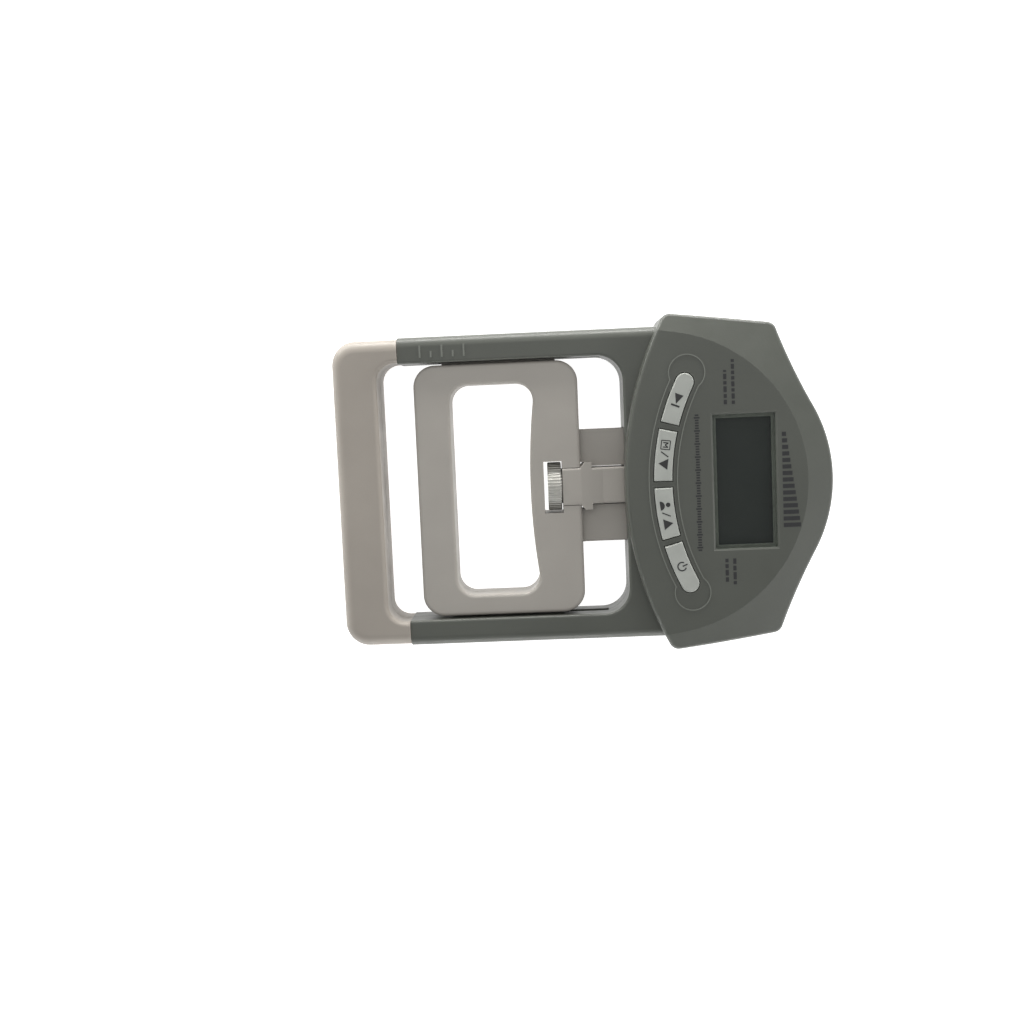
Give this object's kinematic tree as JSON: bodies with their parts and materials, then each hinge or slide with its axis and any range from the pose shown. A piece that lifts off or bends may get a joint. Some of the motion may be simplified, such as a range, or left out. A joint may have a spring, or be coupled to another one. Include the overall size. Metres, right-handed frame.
{
  "type": "hand dynamometer",
  "caption": "Electronic hand-grip dynamometer: a palm grip and two arms frame a sliding finger handle, set by a knurled knob, below a head with keys and a display window.",
  "frame": {"origin": "middle of the underside; the device lies on its flat back", "axes": "+X along the length towards the tip of the head, +Y across towards the arm with the scale marks, +Z out of the front face"},
  "size_m": [0.1932, 0.1302, 0.0293],
  "materials": {
    "case_plastic": "fine moulded texture, dark grey green",
    "grip_plastic": "satin, warm light grey",
    "handle_plastic": "satin, warm light grey",
    "knurled_metal": "knurled, turned",
    "screw_steel": "zinc plated",
    "washer_nylon": "natural nylon",
    "key_rubber": "matt, light grey",
    "switch_black": "moulded",
    "lens_glass": "clear over a dark display",
    "display_glass": "reflective display glass",
    "frame_plastic": "moulded",
    "connector_rubber": "elastomer",
    "board_green": "solder mask",
    "cell_aluminium": "milled",
    "nut_brass": "turned",
    "gauge_film": "polyimide film",
    "battery_jacket": "printed sleeve",
    "contact_metal": "nickel plated",
    "lead_insulation": "insulated wire",
    "label_film": "blank silver film"
  },
  "bodies": {
    "frame": {"aaa_cell_1": "battery_jacket", "aaa_cell_2": "battery_jacket", "battery_contacts": "contact_metal", "battery_leads": "lead_insulation", "battery_springs": "contact_metal", "board_screws": "screw_steel", "bracket_screws": "screw_steel", "case_screws": "screw_steel", "circuit_board": "board_green", "controller_chip": "switch_black", "display_connectors": "connector_rubber", "display_frame": "frame_plastic", "display_lens": "lens_glass", "display_panel": "display_glass", "front_shell": "case_plastic", "gauge_ribbon": "gauge_film", "load_cell": "cell_aluminium", "load_cell_bolts": "screw_steel", "load_cell_bracket": "cell_aluminium", "palm_grip_front": "grip_plastic", "palm_grip_rear": "grip_plastic", "palm_grip_screws": "screw_steel", "rating_label": "label_film", "rear_shell": "case_plastic", "screw_nut": "nut_brass", "strain_gauges": "gauge_film", "tact_switches": "switch_black"},
    "handle": {"handle_front": "handle_plastic", "handle_rear": "handle_plastic", "handle_screws": "screw_steel", "stem_plate": "handle_plastic", "screw_cover": "handle_plastic", "thrust_washer": "washer_nylon"},
    "knob": {"knob": "knurled_metal", "adjusting_screw": "screw_steel", "retaining_ring": "screw_steel"},
    "battery_cover": {"battery_cover": "case_plastic"},
    "key_start": {"key_start": "key_rubber", "plunger_start": "switch_black"},
    "key_memory": {"key_memory": "key_rubber", "plunger_memory": "switch_black"},
    "key_user": {"key_user": "key_rubber", "plunger_user": "switch_black"},
    "key_power": {"key_power": "key_rubber", "plunger_power": "switch_black"}
  },
  "joints": [
    {"name": "handle_slide", "type": "slide", "parent": "frame", "child": "handle", "axis": [1, 0, 0], "range_m": [0, 0.0164]},
    {"name": "knob_turn", "type": "hinge", "parent": "handle", "child": "knob", "pos_m": [-0.011, 0, 0.0115], "axis": [1, 0, 0], "range_deg": [0, 5904]},
    {"name": "battery_cover_slide", "type": "slide", "parent": "frame", "child": "battery_cover", "axis": [1, 0, 0], "range_m": [0, 0.038]},
    {"name": "key_start_press", "type": "slide", "parent": "frame", "child": "key_start", "axis": [0, 0, -1], "range_m": [0, 0.0005], "stiffness_N_per_m": 3000, "springref_m": -0.0003},
    {"name": "key_memory_press", "type": "slide", "parent": "frame", "child": "key_memory", "axis": [0, 0, -1], "range_m": [0, 0.0005], "stiffness_N_per_m": 3000, "springref_m": -0.0003},
    {"name": "key_user_press", "type": "slide", "parent": "frame", "child": "key_user", "axis": [0, 0, -1], "range_m": [0, 0.0005], "stiffness_N_per_m": 3000, "springref_m": -0.0003},
    {"name": "key_power_press", "type": "slide", "parent": "frame", "child": "key_power", "axis": [0, 0, -1], "range_m": [0, 0.0005], "stiffness_N_per_m": 3000, "springref_m": -0.0003}
  ],
  "couplings": [
    {"joint": "knob_turn", "follows": "handle_slide", "rad_per_m": 6283.2}
  ]
}
